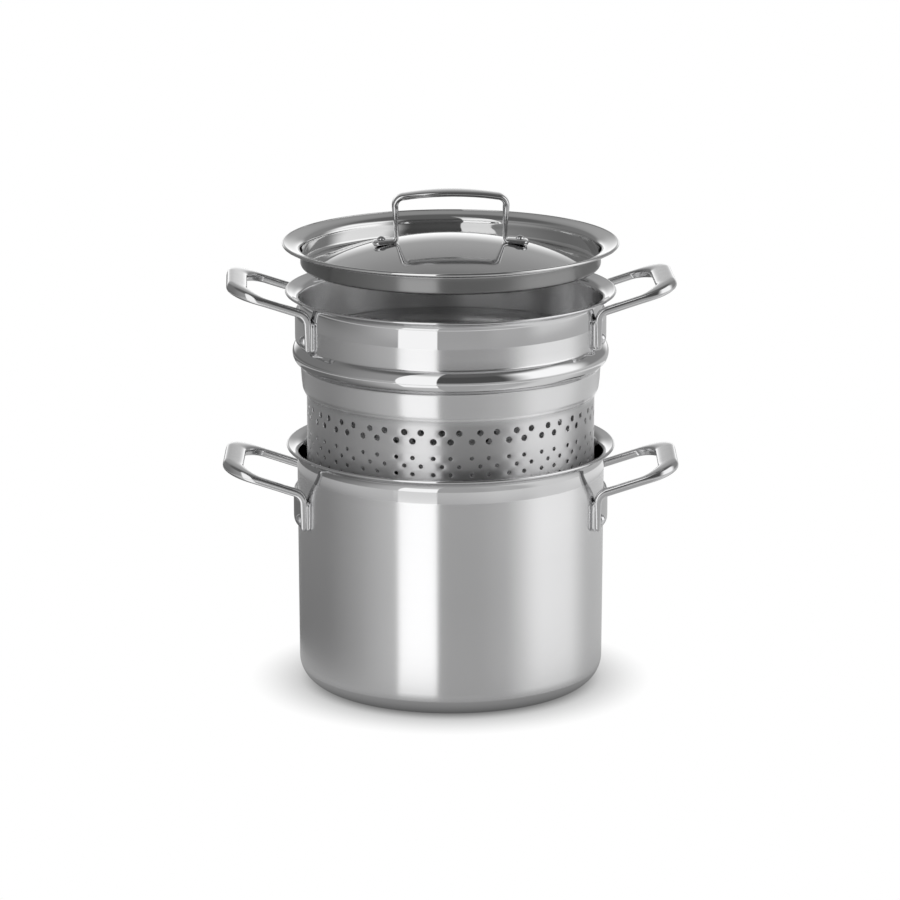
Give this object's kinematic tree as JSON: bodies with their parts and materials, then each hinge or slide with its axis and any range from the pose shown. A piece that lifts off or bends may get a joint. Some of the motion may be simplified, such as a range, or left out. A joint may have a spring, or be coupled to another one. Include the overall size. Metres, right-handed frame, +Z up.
{
  "type": "pasta pot with strainer insert",
  "caption": "Tall steel pot with side handles, a perforated strainer insert that lifts out, and a domed lid with an arched handle.",
  "frame": {"origin": "middle of the pot's foot, on the surface it stands on", "axes": "+Z up along the pot's axis, +X towards the right side handle, -Y towards the camera"},
  "size_m": [0.3552, 0.2612, 0.3915],
  "materials": {
    "pot_satin_steel": "satin steel brushed round the wall, with a mirror band under the lip",
    "core_aluminium": "bare aluminium, seen only as a line at the lip's edge",
    "liner_steel": "fine polished steel inside",
    "insert_satin_steel": "satin steel with mirror bands at the rim and the bead",
    "lid_polished_steel": "mirror polished steel",
    "cast_handle_steel": "polished cast stainless steel",
    "rivet_steel": "polished steel rivet heads"
  },
  "bodies": {
    "pot": {"pot_outer_shell": "pot_satin_steel", "pot_core": "core_aluminium", "pot_inner_liner": "liner_steel", "pot_handle_left": "cast_handle_steel", "pot_handle_right": "cast_handle_steel", "pot_rivet_left_front": "rivet_steel", "pot_rivet_left_rear": "rivet_steel", "pot_rivet_right_front": "rivet_steel", "pot_rivet_right_rear": "rivet_steel"},
    "insert": {"insert_body": "insert_satin_steel", "insert_handle_left": "cast_handle_steel", "insert_handle_right": "cast_handle_steel", "insert_rivet_left_front": "rivet_steel", "insert_rivet_left_rear": "rivet_steel", "insert_rivet_right_front": "rivet_steel", "insert_rivet_right_rear": "rivet_steel"},
    "lid": {"lid_body": "lid_polished_steel", "lid_handle": "cast_handle_steel", "lid_rivet_left": "rivet_steel", "lid_rivet_right": "rivet_steel"}
  },
  "joints": [
    {"name": "insert_lift", "type": "slide", "parent": "pot", "child": "insert", "axis": [0, 0, 1], "range_m": [-0.066, 0.105]},
    {"name": "lid_lift", "type": "slide", "parent": "insert", "child": "lid", "axis": [0, 0, 1], "range_m": [-0.0349, 0.015]}
  ]
}
